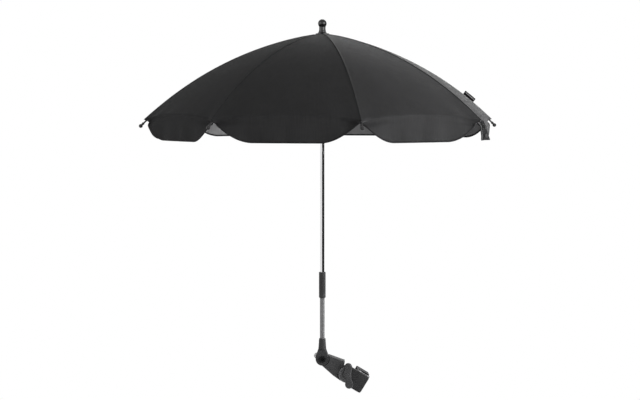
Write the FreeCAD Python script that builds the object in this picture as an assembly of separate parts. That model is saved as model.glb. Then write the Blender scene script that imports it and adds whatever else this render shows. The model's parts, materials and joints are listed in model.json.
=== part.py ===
import FreeCAD, Part
import math
import os
from FreeCAD import Vector

# A pram parasol: a clamp for a pram tube, an arm, a telescopic mast and an eight-rib canopy.
# Millimetres, +Z up. The origin is the middle of the pram tube that the clamp grips.
# The mast stands upright and the arm falls away to the right of it, in the plane of X and Z.

# General values
overrun = 4.0
slip = 0.08
touch_gap = 0.3
cloth_thickness = 1.0

# Tube clamp, in its own frame: X along the arm, Z along the pram tube
tube_radius = 11.0
pad_wall = 1.5
fixed_pad_depth = 9.5
moving_pad_depth = 7.0
jaw_width = 36.4
plate_wall = 5.0
near_wall = 4.5
rear_wall = 6.0
jaw_wall = 7.0
jaw_travel = 5.0
jaw_room = 0.5
mouth_reach = 11.0
plate_near_reach = 24.0
plate_corner = 4.0
ear_reach = 35.0
eye_to_tube = 30.0
eye_radius = 16.5
face_to_mast = 13.0
screw_radius = 4.0
screw_socket_depth = 4.0
knob_radius = 14.0
knob_thickness = 12.0
knob_flutes = 6
knob_flute_radius = 4.0

# Wing knob and swing bolt
wing_flange_radius = 9.0
wing_flange_thickness = 2.2
wing_hub_radius = 8.5
wing_thickness = 9.0
wing_lobe_radius = 7.5
wing_lobe_reach = 17.5
wing_neck_width = 11.0
wing_edge = 2.0
swing_bolt_radius = 4.0
swing_head_across = 13.0
swing_head_thickness = 4.5
wing_thread_depth = 8.5

# Arm, from the tilt joint to the swing joint
arm_fall = 31.0
tilt_to_eye = 56.0
eye_below_arm = 1.7
arm_half_thickness = 11.0
arm_root_start = 6.0
arm_root_half = 11.5
arm_flare_start = 35.0
arm_flare_half = 17.0
arm_end_half = 18.2
arm_top_end = 40.0
arm_low_end = 53.0
arm_lap_plane = 3.4
arm_lap_plate_radius = 13.0

# Tilt joint and mast socket
tongue_radius = 12.0
tongue_half = 4.7
cheek_radius = 13.0
cheek_half = 12.0
cheek_gap = 0.6
socket_top = 38.6
socket_top_radius = 6.35
socket_neck_height = 17.6
socket_neck_radius = 7.5
socket_flare_height = 3.0
tilt_bolt_radius = 3.0
tilt_head_radius = 6.3
tilt_head_thickness = 3.2
tilt_recess_radius = 3.3
tilt_recess_depth = 2.4
lever_hub_radius = 8.0
lever_thickness = 5.5
lever_reach = 10.5
lever_width = 12.0
lever_paddle_thickness = 3.5
lever_angle = 8.0

# Mast
lower_tube_radius = 4.6
tube_wall = 0.5
lower_tube_bottom = 15.5
lower_tube_top = 152.0
collar_bottom = 117.3
collar_top = 168.3
collar_radius = 6.5
collar_bottom_bevel = 1.9
collar_top_bevel = 0.6
collar_lip = 2.0
collet_wall = 1.2
collet_slit = 1.0
shaft_radius = 4.0
shaft_wall = 0.8
shaft_bottom = 95.0
shaft_spigot = 6.0

# Spring catches in the shaft
catch_width = 2.0
catch_height = 12.0
catch_reach = 2.0
catch_leaf = 1.2
catch_below_runner = 2.0
catch_room = 0.3

# Canopy profile: along each rib the cloth is an arc of a circle
rib_count = 8
first_rib_azimuth = 10.9
apex_height = 626.6
canopy_arc_radius = 620.0
apex_slope = 8.34
rim_radius = 336.0
tip_beyond_rim = 9.0
panel_inner_radius = 14.2
mid_rise = 9.0
panel_stations = 11
seam_gap = 0.3

# Scalloped valance below the rim, drawn between two ribs
valance_drop = 38.0
valance_start = 4.0
scallop_knee_share = 0.14
scallop_knee_drop_share = 0.71
scallop_turn_share = 0.18
scallop_turn_drop_share = 0.9
scallop_full_share = 0.24

# Ribs, tips and stretchers
rib_radius = 1.5
rib_seam_angle = 90.0
hinge_radius = 9.5
hinge_wire_radius = 0.5
hinge_hole_radius = 0.65
rib_root_length = 2.0
rib_end_inset = 2.0
tip_ball_radius = 3.65
tip_sleeve_radius = 2.4
tip_sleeve_length = 8.0
strut_rib_radius = 150.0
strut_width = 2.4
strut_height = 3.6
strut_eye_radius = 2.4
strut_eye_to_cloth = 0.45
strut_fork_length = 12.0
strut_yoke_length = 5.0
strut_cheek = 0.95
strut_cheek_gap = 0.35
rivet_radius = 0.8
fold_angle = 58.0

# Crown, runner, rosette and finial
crown_radius = 12.5
crown_above_hinge = 2.6
crown_below_hinge = 7.0
crown_core_radius = 6.4
slot_room = 0.3
runner_radius = 7.5
runner_flange_radius = 12.5
runner_flange_above = 4.0
runner_flange_below = 5.0
runner_length = 38.0
runner_core_radius = 6.2
runner_slot_below = 3.3
rosette_radius = 13.0
rosette_rim = 1.0
rosette_top_radius = 6.9
rosette_height = 4.6
rosette_waist_radius = 8.9
rosette_waist_height = 1.9
finial_ball_radius = 8.2
finial_neck_length = 15.5
finial_neck_top_radius = 6.35

# Trim on the cloth
strap_start = 2.2
strap_top_width = 6.6
strap_width = 16.0
strap_lean = 6.4
strap_length = 35.0
strap_thickness = 1.2
snap_radius = 4.0
snap_thickness = 1.5
snap_from_end = 8.0
tag_length = 26.0
tag_height = 9.0
tag_thickness = 0.8
tag_before_rim = 46.0

# Directions
ORIGIN = Vector(0, 0, 0)
AXIS_Y = Vector(0, 1, 0)
AXIS_Z = Vector(0, 0, 1)

# Places that follow from the sizes
pad_radius = tube_radius + pad_wall
face_y = -(pad_radius + plate_wall)
mast_y = face_y + face_to_mast
ear_wall = face_to_mast - arm_half_thickness - touch_gap
jaw_back_y = pad_radius + jaw_wall
rear_inner_y = jaw_back_y + jaw_travel + jaw_room
rear_outer_y = rear_inner_y + rear_wall
knob_y = rear_outer_y + jaw_travel + jaw_room
jaw_near_x = -(tube_radius + jaw_room)
near_wall_x = jaw_near_x - jaw_room - near_wall
tilt_place = Vector(-(eye_to_tube + tilt_to_eye), mast_y, eye_below_arm)
FALL = FreeCAD.Rotation(AXIS_Y, arm_fall)
TILT_AXIS_POINT = FALL.multVec(tilt_place)
gore_angle = 360.0 / rib_count
half_gore = math.radians(gore_angle / 2)

arc_centre_r = -canopy_arc_radius * math.sin(math.radians(apex_slope))
arc_centre_z = apex_height - canopy_arc_radius * math.cos(math.radians(apex_slope))
cloth_inner_arc = canopy_arc_radius - cloth_thickness
tip_radius_from_axis = rim_radius + tip_beyond_rim
tag_radius_from_axis = rim_radius - tag_before_rim
rib_arc = cloth_inner_arc - touch_gap - rib_radius
strut_rib_eye_radius = rib_radius + touch_gap - strut_eye_to_cloth


def arc_angle(arc_radius, distance):
    """Angle from the vertical where an arc of the canopy lies that far from the mast."""
    return math.asin((distance - arc_centre_r) / arc_radius)


def arc_point(arc_radius, angle):
    """Point of a canopy arc, as distance from the mast and height."""
    return (arc_centre_r + arc_radius * math.sin(angle), arc_centre_z + arc_radius * math.cos(angle))


hinge_angle = arc_angle(rib_arc, hinge_radius)
hinge_z = arc_point(rib_arc, hinge_angle)[1]
strut_angle = arc_angle(rib_arc, strut_rib_radius)
strut_z = arc_point(rib_arc, strut_angle)[1]
runner_z = 2 * strut_z - hinge_z


def save(shape, node):
    shape.exportStep("parts/" + node + ".step")


def block(low, high):
    """Box between two corners."""
    size = high.sub(low)
    return Part.makeBox(size.x, size.y, size.z, low)


def rod(radius, start, end):
    """Cylinder from one point to another."""
    along = end.sub(start)
    return Part.makeCylinder(radius, along.Length, start, along)


def tube(outer, inner, low, high):
    """Upright tube between two heights."""
    wall = rod(outer, Vector(0, 0, low), Vector(0, 0, high))
    bore = rod(inner, Vector(0, 0, low - overrun), Vector(0, 0, high + overrun))
    return wall.cut(bore)


def plate(points, low_y, high_y):
    """Outline in X and Z, carried from one Y to another."""
    corners = [Vector(x, low_y, z) for x, z in points]
    outline = Part.makePolygon(corners + corners[:1])
    return Part.Face(outline).extrude(Vector(0, high_y - low_y, 0))


def cross_pin(radius, place, low_y, high_y):
    """Cylinder along Y at a place in X and Z."""
    return rod(radius, Vector(place.x, low_y, place.z), Vector(place.x, high_y, place.z))


def hexagon(across, place, low_y, high_y):
    """Six-sided prism along Y, across its flats."""
    corner = across / math.sqrt(3)
    turns = [math.radians(60 * i) for i in range(6)]
    points = [(place.x + corner * math.cos(a), place.z + corner * math.sin(a)) for a in turns]
    return plate(points, low_y, high_y)


def on_arm(shape):
    """Turns a shape from the clamp's frame to the part's frame."""
    shape.rotate(ORIGIN, AXIS_Y, arm_fall)
    return shape


def on_mast(shape):
    """Moves a shape drawn about the tilt axis to its place."""
    shape.translate(TILT_AXIS_POINT)
    return shape


def on_rib(shape, number):
    """Turns a shape drawn along X to one of the ribs and moves it to the mast."""
    shape.rotate(ORIGIN, AXIS_Z, first_rib_azimuth + gore_angle * (number - 1))
    return on_mast(shape)


def clamp_body():
    half = jaw_width / 2
    front = block(Vector(-plate_near_reach, face_y, -half), Vector(mouth_reach, face_y + plate_wall, half))
    corners = [e for e in front.Edges if e.BoundBox.XLength < slip and e.BoundBox.ZLength < slip]
    front = front.makeFillet(plate_corner, corners)
    eye_place = Vector(-eye_to_tube, 0, 0)
    eye = cross_pin(eye_radius, eye_place, face_y, mast_y + arm_lap_plane)
    ear = block(Vector(-ear_reach, face_y, 0), Vector(near_wall_x, face_y + ear_wall, half))
    corners = [e for e in ear.Edges if e.BoundBox.XMax < slip - ear_reach and e.BoundBox.ZMin > half - slip]
    ear = ear.makeFillet(plate_corner, corners)
    near = block(Vector(near_wall_x, face_y, -half), Vector(near_wall_x + near_wall, rear_outer_y, half))
    rear = block(Vector(near_wall_x, rear_inner_y, -half), Vector(mouth_reach, rear_outer_y, half))
    body = front.fuse([eye, ear, near, rear]).removeSplitter()
    screw_hole = cross_pin(screw_radius + slip, ORIGIN, rear_inner_y - overrun, rear_outer_y + overrun)
    bolt_hole = cross_pin(swing_bolt_radius + slip, eye_place, face_y - overrun, mast_y + arm_half_thickness)
    return body.cut(screw_hole).cut(bolt_hole)


def fixed_pad():
    half = jaw_width / 2
    low = Vector(jaw_near_x, -pad_radius, -half)
    high = Vector(mouth_reach, -pad_radius + fixed_pad_depth, half)
    return block(low, high).cut(rod(tube_radius, Vector(0, 0, -jaw_width), Vector(0, 0, jaw_width)))


def moving_jaw():
    half = jaw_width / 2
    jaw = block(Vector(jaw_near_x, pad_radius - moving_pad_depth, -half), Vector(mouth_reach, jaw_back_y, half))
    jaw = jaw.cut(rod(pad_radius, Vector(0, 0, -jaw_width), Vector(0, 0, jaw_width)))
    socket = cross_pin(screw_radius + slip, ORIGIN, jaw_back_y - screw_socket_depth, jaw_back_y + overrun)
    return jaw.cut(socket)


def moving_pad():
    half = jaw_width / 2
    lining = rod(pad_radius - slip, Vector(0, 0, -half), Vector(0, 0, half))
    lining = lining.cut(rod(tube_radius, Vector(0, 0, -jaw_width), Vector(0, 0, jaw_width)))
    low = Vector(jaw_near_x, pad_radius - moving_pad_depth, -half)
    return lining.common(block(low, Vector(mouth_reach, pad_radius, half)))


def clamp_screw():
    return cross_pin(screw_radius, ORIGIN, jaw_back_y - screw_socket_depth + slip, knob_y + knob_thickness / 2)


def clamp_knob():
    knob = cross_pin(knob_radius, ORIGIN, knob_y, knob_y + knob_thickness)
    for i in range(knob_flutes):
        turn = math.radians(360.0 * i / knob_flutes)
        place = Vector(knob_radius * math.cos(turn), 0, knob_radius * math.sin(turn))
        knob = knob.cut(cross_pin(knob_flute_radius, place, knob_y - overrun, knob_y + knob_thickness + overrun))
    return knob.cut(cross_pin(screw_radius, ORIGIN, knob_y - overrun, knob_y + knob_thickness / 2))


def swing_bolt():
    place = Vector(-eye_to_tube, 0, 0)
    head_y = mast_y + arm_half_thickness + touch_gap
    tip_y = face_y - touch_gap - wing_thread_depth
    shank = cross_pin(swing_bolt_radius, place, tip_y, head_y)
    return shank.fuse(hexagon(swing_head_across, place, head_y, head_y + swing_head_thickness)).removeSplitter()


def wing_knob():
    """Two-lobed knob, drawn with its lobes along Z and turned upright in the part's frame."""
    seat_y = face_y - touch_gap
    flange_y = seat_y - wing_flange_thickness
    front_y = flange_y - wing_thickness
    knob = cross_pin(wing_hub_radius, ORIGIN, front_y, flange_y)
    for side in (-1, 1):
        knob = knob.fuse(cross_pin(wing_lobe_radius, Vector(0, 0, side * wing_lobe_reach), front_y, flange_y))
    neck_low = Vector(-wing_neck_width / 2, front_y, -wing_lobe_reach)
    neck_high = Vector(wing_neck_width / 2, flange_y, wing_lobe_reach)
    knob = knob.fuse(block(neck_low, neck_high)).removeSplitter()
    front_edges = [e for e in knob.Edges if abs(e.BoundBox.YMax - front_y) < slip]
    knob = knob.makeChamfer(wing_edge, front_edges)
    knob = knob.fuse(cross_pin(wing_flange_radius, ORIGIN, flange_y, seat_y)).removeSplitter()
    thread = cross_pin(swing_bolt_radius + slip, ORIGIN, seat_y - wing_thread_depth - slip, seat_y + overrun)
    knob = knob.cut(thread)
    knob.translate(FALL.multVec(Vector(-eye_to_tube, 0, 0)))
    return knob


def clamp_arm():
    outline = [
        (arm_root_start, arm_root_half),
        (arm_flare_start, arm_flare_half),
        (arm_top_end, arm_end_half),
        (arm_low_end, -arm_end_half),
        (arm_flare_start, -arm_flare_half),
        (arm_root_start, -arm_root_half),
    ]
    eye = Vector(tilt_to_eye, 0, -eye_below_arm)
    arm = plate(outline, -arm_half_thickness, arm_half_thickness)
    lap_y = arm_lap_plane + touch_gap
    arm = arm.fuse(cross_pin(arm_lap_plate_radius, eye, lap_y, arm_half_thickness))
    arm = arm.cut(cross_pin(eye_radius + jaw_room, eye, -arm_half_thickness - overrun, lap_y))
    for side in (-1, 1):
        outer = side * (arm_half_thickness + overrun)
        inner = side * tongue_half
        arm = arm.cut(cross_pin(cheek_radius + cheek_gap, ORIGIN, min(outer, inner), max(outer, inner)))
    arm = arm.fuse(cross_pin(tongue_radius, ORIGIN, -tongue_half, tongue_half)).removeSplitter()
    arm = arm.cut(cross_pin(tilt_bolt_radius + slip, ORIGIN, -cheek_half, cheek_half))
    arm = arm.cut(cross_pin(swing_bolt_radius + slip, eye, -arm_half_thickness, arm_half_thickness + overrun))
    arm.translate(tilt_place)
    return arm


def mast_socket():
    neck = Part.makeCone(socket_neck_radius, socket_top_radius, socket_top - socket_neck_height,
                         Vector(0, 0, socket_neck_height), AXIS_Z)
    flare_half = math.sqrt(cheek_radius ** 2 - socket_flare_height ** 2)
    flare = [
        (-socket_neck_radius, socket_neck_height),
        (socket_neck_radius, socket_neck_height),
        (flare_half, socket_flare_height),
        (-flare_half, socket_flare_height),
    ]
    fork = plate(flare, -cheek_half, cheek_half).fuse(cross_pin(cheek_radius, ORIGIN, -cheek_half, cheek_half))
    slot_half = tongue_half + touch_gap
    fork = fork.cut(cross_pin(cheek_radius + cheek_gap, ORIGIN, -slot_half, slot_half))
    socket = fork.fuse(neck).removeSplitter()
    bore = rod(lower_tube_radius + slip / 2, Vector(0, 0, lower_tube_bottom), Vector(0, 0, socket_top + overrun))
    bolt_hole = cross_pin(tilt_bolt_radius + slip / 2, ORIGIN, -cheek_half - overrun, cheek_half + overrun)
    return socket.cut(bore).cut(bolt_hole)


def tilt_bolt():
    end_y = cheek_half + touch_gap + lever_thickness
    bolt = cross_pin(tilt_bolt_radius, ORIGIN, -cheek_half, end_y)
    head = cross_pin(tilt_head_radius, ORIGIN, -cheek_half - tilt_head_thickness, -cheek_half)
    recess_y = -cheek_half - tilt_head_thickness
    recess = hexagon(tilt_recess_radius * math.sqrt(3), ORIGIN, recess_y - overrun, recess_y + tilt_recess_depth)
    return bolt.fuse(head).removeSplitter().cut(recess)


def tilt_lever():
    low_y = cheek_half + touch_gap
    high_y = low_y + lever_thickness
    paddle_y = high_y - lever_paddle_thickness
    half = lever_width / 2
    hub = cross_pin(lever_hub_radius, ORIGIN, low_y, high_y)
    paddle = block(Vector(-lever_reach, paddle_y, -half), Vector(0, high_y, half))
    paddle = paddle.fuse(cross_pin(half, Vector(-lever_reach, 0, 0), paddle_y, high_y))
    lever = hub.fuse(paddle).removeSplitter()
    lever = lever.cut(cross_pin(tilt_bolt_radius + slip, ORIGIN, low_y - overrun, high_y + overrun))
    lever.rotate(ORIGIN, AXIS_Y, lever_angle)
    return lever


def collar():
    sleeve = rod(collar_radius, Vector(0, 0, collar_bottom), Vector(0, 0, collar_top))
    for height, bevel in ((collar_bottom, collar_bottom_bevel), (collar_top, collar_top_bevel)):
        rim = [e for e in sleeve.Edges if e.BoundBox.ZLength < slip and abs(e.BoundBox.ZMax - height) < slip]
        sleeve = sleeve.makeChamfer(bevel, rim)
    lip_z = collar_top - collar_lip
    low_bore = rod(lower_tube_radius + slip, Vector(0, 0, collar_bottom - overrun), Vector(0, 0, lower_tube_top))
    collet_bore = rod(shaft_radius + slip + collet_wall + slip, Vector(0, 0, lower_tube_top), Vector(0, 0, lip_z))
    lip_bore = rod(shaft_radius + slip, Vector(0, 0, lip_z), Vector(0, 0, collar_top + overrun))
    return sleeve.cut(low_bore).cut(collet_bore).cut(lip_bore)


def grip_collet():
    inner = shaft_radius + slip
    ring = tube(inner + collet_wall, inner, lower_tube_top, collar_top - collar_lip - touch_gap)
    half = collet_slit / 2
    return ring.cut(block(Vector(0, -half, lower_tube_bottom), Vector(collar_radius, half, collar_top)))


def catch_height_at(runner_height):
    """Bottom of the catch that carries the runner when its hinges are at that height."""
    return runner_height - runner_length - catch_below_runner - catch_height


def upper_shaft(catch_bottoms):
    top = hinge_z + crown_above_hinge + shaft_spigot
    shaft = tube(shaft_radius, shaft_radius - shaft_wall, shaft_bottom, top)
    half = catch_width / 2 + catch_room
    for bottom in catch_bottoms:
        low = Vector(-half, 0, bottom - catch_room)
        high = Vector(half, shaft_radius + overrun, bottom + catch_height + catch_room)
        shaft = shaft.cut(block(low, high))
    return shaft


def spring_catch(bottom):
    """Leaf inside the shaft with a wedge that stands out through its slot."""
    half = catch_width / 2
    inside = shaft_radius - shaft_wall - catch_leaf
    points = [
        Vector(0, inside, bottom),
        Vector(0, inside + catch_leaf, bottom),
        Vector(0, shaft_radius + catch_reach, bottom + catch_height),
        Vector(0, inside, bottom + catch_height),
    ]
    wedge = Part.Face(Part.makePolygon(points + points[:1])).extrude(Vector(catch_width, 0, 0))
    wedge.translate(Vector(-half, 0, 0))
    return wedge


def slotted_ring(body, width, core_radius, low, high):
    """Cuts a slot for each rib or stretcher out of a hub."""
    half = width / 2 + slot_room
    for number in range(rib_count):
        slot = block(Vector(core_radius, -half, low), Vector(crown_radius + overrun, half, high))
        slot.rotate(ORIGIN, AXIS_Z, first_rib_azimuth + gore_angle * number)
        body = body.cut(slot)
    return body


def hinge_wire(height):
    return Part.makeTorus(hinge_radius, hinge_wire_radius, Vector(0, 0, height), AXIS_Z)


def hinge_groove(height):
    return Part.makeTorus(hinge_radius, hinge_wire_radius + slip / 2, Vector(0, 0, height), AXIS_Z)


def crown():
    low = hinge_z - crown_below_hinge
    high = hinge_z + crown_above_hinge
    hub = tube(crown_radius, shaft_radius + slip / 2, low, high)
    hub = slotted_ring(hub, 2 * rib_radius, crown_core_radius, low - overrun, high + overrun)
    return hub.cut(hinge_groove(hinge_z))


def runner():
    low = runner_z - runner_length
    flange_low = runner_z - runner_flange_below
    flange_high = runner_z + runner_flange_above
    bore = shaft_radius + slip
    sleeve = tube(runner_radius, bore, low, flange_low)
    slot_low = runner_z - runner_slot_below
    flange = tube(runner_flange_radius, bore, flange_low, flange_high)
    flange = slotted_ring(flange, strut_width, runner_core_radius, slot_low, flange_high + overrun)
    half = catch_width / 2 + catch_room
    keyway = block(Vector(-half, 0, low - overrun),
                   Vector(half, shaft_radius + catch_reach + catch_room, flange_high + overrun))
    return sleeve.fuse(flange).removeSplitter().cut(hinge_groove(runner_z)).cut(keyway)


def rosette():
    """Domed washer: a rim, then a concave flare up to the neck of the finial."""
    low = hinge_z + crown_above_hinge
    bore = shaft_radius + slip / 2
    waist = Vector(rosette_waist_radius, 0, low + rosette_waist_height)
    rim_top = Vector(rosette_radius, 0, low + rosette_rim)
    neck = Vector(rosette_top_radius, 0, low + rosette_height)
    edges = [
        Part.makeLine(Vector(bore, 0, low), Vector(rosette_radius, 0, low)),
        Part.makeLine(Vector(rosette_radius, 0, low), rim_top),
        Part.Arc(rim_top, waist, neck).toShape(),
        Part.makeLine(neck, Vector(bore, 0, low + rosette_height)),
        Part.makeLine(Vector(bore, 0, low + rosette_height), Vector(bore, 0, low)),
    ]
    return Part.Face(Part.Wire(edges)).revolve(ORIGIN, AXIS_Z, 360)


def finial():
    low = hinge_z + crown_above_hinge + rosette_height
    base = Vector(0, 0, low)
    neck = Part.makeCone(rosette_top_radius, finial_neck_top_radius, finial_neck_length, base, AXIS_Z)
    ball = Part.makeSphere(finial_ball_radius, Vector(0, 0, low + finial_neck_length))
    spigot_top = hinge_z + crown_above_hinge + shaft_spigot
    socket = rod(shaft_radius + slip / 2, Vector(0, 0, low - overrun), Vector(0, 0, spigot_top))
    return neck.fuse(ball).removeSplitter().cut(socket)


def arc_rod(radius, arc_radius, start_angle, end_angle):
    """Round bar along a canopy arc, turned about the arc's centre, with its seam on one side."""
    distance, height = arc_point(arc_radius, start_angle)
    start = Vector(distance, 0, height)
    along = Vector(math.cos(start_angle), 0, -math.sin(start_angle))
    ring = Part.Circle(start, along, radius).toShape()
    ring.rotate(start, along, rib_seam_angle)
    turn = math.degrees(end_angle - start_angle)
    return Part.Face(Part.Wire(ring)).revolve(Vector(arc_centre_r, 0, arc_centre_z), AXIS_Y, turn)


def rib():
    root = hinge_angle - rib_root_length / rib_arc
    end = arc_angle(rib_arc, tip_radius_from_axis - rib_end_inset)
    bar = arc_rod(rib_radius, rib_arc, root, end)
    for angle, hole in ((hinge_angle, hinge_hole_radius), (strut_angle, rivet_radius + slip / 2)):
        distance, height = arc_point(rib_arc, angle)
        bar = bar.cut(cross_pin(hole, Vector(distance, 0, height), -overrun, overrun))
    return bar


def rib_tip():
    end = arc_angle(rib_arc, tip_radius_from_axis)
    distance, height = arc_point(rib_arc, end)
    centre = Vector(distance, 0, height)
    back = Vector(-math.cos(end), 0, math.sin(end))
    sleeve_start = centre.add(Vector(back).multiply(tip_sleeve_length))
    tip = Part.makeSphere(tip_ball_radius, centre).fuse(rod(tip_sleeve_radius, centre, sleeve_start)).removeSplitter()
    first = arc_angle(rib_arc, tip_radius_from_axis - 2 * tip_sleeve_length)
    last = arc_angle(rib_arc, tip_radius_from_axis - rib_end_inset + slip)
    return tip.cut(arc_rod(rib_radius + slip / 2, rib_arc, first, last))


def stretcher():
    """Drawn along X from the runner hinge, then turned up to the rib."""
    rib_distance, rib_height = arc_point(rib_arc, strut_angle)
    span = Vector(rib_distance - hinge_radius, 0, rib_height - runner_z)
    length = span.Length
    half_height = strut_height / 2
    fork_start = length - strut_fork_length
    yoke_start = fork_start - strut_yoke_length
    inner = rib_radius + strut_cheek_gap
    outer = inner + strut_cheek
    bar = block(Vector(0, -strut_width / 2, -half_height), Vector(yoke_start, strut_width / 2, half_height))
    root = cross_pin(strut_eye_radius, ORIGIN, -strut_width / 2, strut_width / 2)
    yoke = block(Vector(yoke_start, -outer, -half_height), Vector(fork_start, outer, half_height))
    far = Vector(length, 0, 0)
    pieces = [root, yoke, cross_pin(rivet_radius, far, -outer, outer)]
    for low_y, high_y in ((-outer, -inner), (inner, outer)):
        low, high = Vector(fork_start, low_y, -strut_rib_eye_radius), Vector(length, high_y, strut_rib_eye_radius)
        pieces.append(block(low, high))
        pieces.append(cross_pin(strut_rib_eye_radius, far, low_y, high_y))
    strut = bar.fuse(pieces).removeSplitter().cut(cross_pin(hinge_hole_radius, ORIGIN, -overrun, overrun))
    strut.rotate(ORIGIN, AXIS_Y, -math.degrees(math.atan2(span.z, span.x)))
    strut.translate(Vector(hinge_radius, 0, runner_z))
    return strut


def panel_edge(arc_radius, angle, side):
    """Point on the cloth midway to the next rib: the chord's middle, lifted towards the rim."""
    distance, height = arc_point(arc_radius, angle)
    chord = distance * math.cos(half_gore)
    lift = mid_rise * (distance / rim_radius) ** 2
    x = chord * math.cos(half_gore) + seam_gap / 2 * math.sin(half_gore)
    y = chord * math.sin(half_gore) - seam_gap / 2 * math.cos(half_gore)
    return Vector(x, side * y, height + lift)


def panel_points(angle):
    """Corners across one panel at one angle along the rib: over the outside, then back along the inside."""
    points = []
    for arc_radius, sides in ((canopy_arc_radius, (-1, 0, 1)), (cloth_inner_arc, (1, 0, -1))):
        for side in sides:
            if side:
                points.append(panel_edge(arc_radius, angle, side))
            else:
                distance, height = arc_point(arc_radius, angle)
                points.append(Vector(distance, 0, height))
    return points


def panel_end(points):
    """Triangles that close one end of a panel, between its outside and its inside."""
    left, ridge, right, right_in, ridge_in, left_in = points
    corners = (
        (left, ridge, ridge_in),
        (left, ridge_in, left_in),
        (ridge, right, right_in),
        (ridge, right_in, ridge_in),
    )
    return [Part.Face(Part.makePolygon([a, b, c, a])) for a, b, c in corners]


rim_angle = arc_angle(canopy_arc_radius, rim_radius)


def rim_line(side):
    """Inner edge of the rim from the rib to mid gore: start point, unit direction and length in plan, and rise."""
    distance, height = arc_point(cloth_inner_arc, rim_angle)
    start = Vector(distance, 0, height)
    end = panel_edge(cloth_inner_arc, rim_angle, side)
    flat = Vector(end.x - start.x, end.y, 0)
    return start, flat.normalize(), math.hypot(end.x - start.x, end.y), end.z - start.z


def outwards(along):
    """Level direction away from the mast, square to a stretch of the rim."""
    return Vector(abs(along.y), -along.x * math.copysign(1, along.y), 0)


def half_valance(side):
    """Cloth below the rim: a diagonal from the rib, a round knee, and a level hem to mid gore."""
    start, along, length, rise = rim_line(side)
    width = 2 * length

    def place(u, v):
        return start.add(Vector(along).multiply(u)).add(Vector(0, 0, v))

    first = place(valance_start, rise * valance_start / length)
    knee = place(scallop_knee_share * width, -scallop_knee_drop_share * valance_drop)
    turn = place(scallop_turn_share * width, -scallop_turn_drop_share * valance_drop)
    full = place(scallop_full_share * width, -valance_drop)
    hem = place(length, -valance_drop)
    edges = [
        Part.makeLine(first, knee),
        Part.Arc(knee, turn, full).toShape(),
        Part.makeLine(full, hem),
        Part.makeLine(hem, place(length, rise)),
        Part.makeLine(place(length, rise), first),
    ]
    return Part.Face(Part.Wire(edges)).extrude(outwards(along).multiply(-cloth_thickness))


def canopy_panel():
    first = arc_angle(canopy_arc_radius, panel_inner_radius)
    step = (rim_angle - first) / (panel_stations - 1)
    rows = [panel_points(first + step * i) for i in range(panel_stations)]
    skin = Part.makeLoft([Part.makePolygon(row + row[:1]) for row in rows], False, True)
    shell = Part.makeShell(skin.Faces + panel_end(rows[0]) + panel_end(rows[-1]))
    shell.sewShape()
    cloth = Part.Solid(shell)
    if cloth.Volume < 0:
        cloth.reverse()
    return Part.makeCompound([cloth, half_valance(-1), half_valance(1)])


def strap_place(past, drop):
    """Point on the back of the strap, past the rib on the line of the rim and below it."""
    start, along = rim_line(-1)[:2]
    return start.sub(Vector(along).multiply(past)).add(Vector(0, 0, -touch_gap - drop))


def closing_strap():
    """Strap sewn to the corner of the cloth at a rib. It widens and leans outwards as it hangs."""
    low_start = strap_start + strap_lean
    corners = [
        strap_place(strap_start, 0),
        strap_place(strap_start + strap_top_width, 0),
        strap_place(low_start + strap_width, strap_length),
        strap_place(low_start, strap_length),
    ]
    face = Part.Face(Part.makePolygon(corners + corners[:1]))
    return face.extrude(outwards(rim_line(-1)[1]).multiply(strap_thickness))


def strap_snap():
    across = outwards(rim_line(-1)[1])
    share = 1 - snap_from_end / strap_length
    width = strap_top_width + (strap_width - strap_top_width) * share
    middle = strap_place(strap_start + strap_lean * share + width / 2, strap_length - snap_from_end)
    return Part.makeCylinder(snap_radius, snap_thickness, middle.add(Vector(across).multiply(strap_thickness)), across)


def seam_tag():
    angle = arc_angle(canopy_arc_radius, tag_radius_from_axis)
    half_turn = tag_length / 2 / canopy_arc_radius
    inner = canopy_arc_radius + touch_gap
    outer = inner + tag_height
    points = [arc_point(radius, angle + turn) for radius, turn in
              ((inner, -half_turn), (inner, half_turn), (outer, half_turn), (outer, -half_turn))]
    return plate(points, -tag_thickness / 2, tag_thickness / 2)


def fold_travel():
    """How far the runner goes down as the ribs fold: twice the drop of the rib's stretcher joint."""
    reach = math.hypot(strut_rib_radius - hinge_radius, hinge_z - strut_z)
    open_angle = math.atan2(hinge_z - strut_z, strut_rib_radius - hinge_radius)
    return 2 * reach * (math.sin(open_angle + math.radians(fold_angle)) - math.sin(open_angle))


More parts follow.
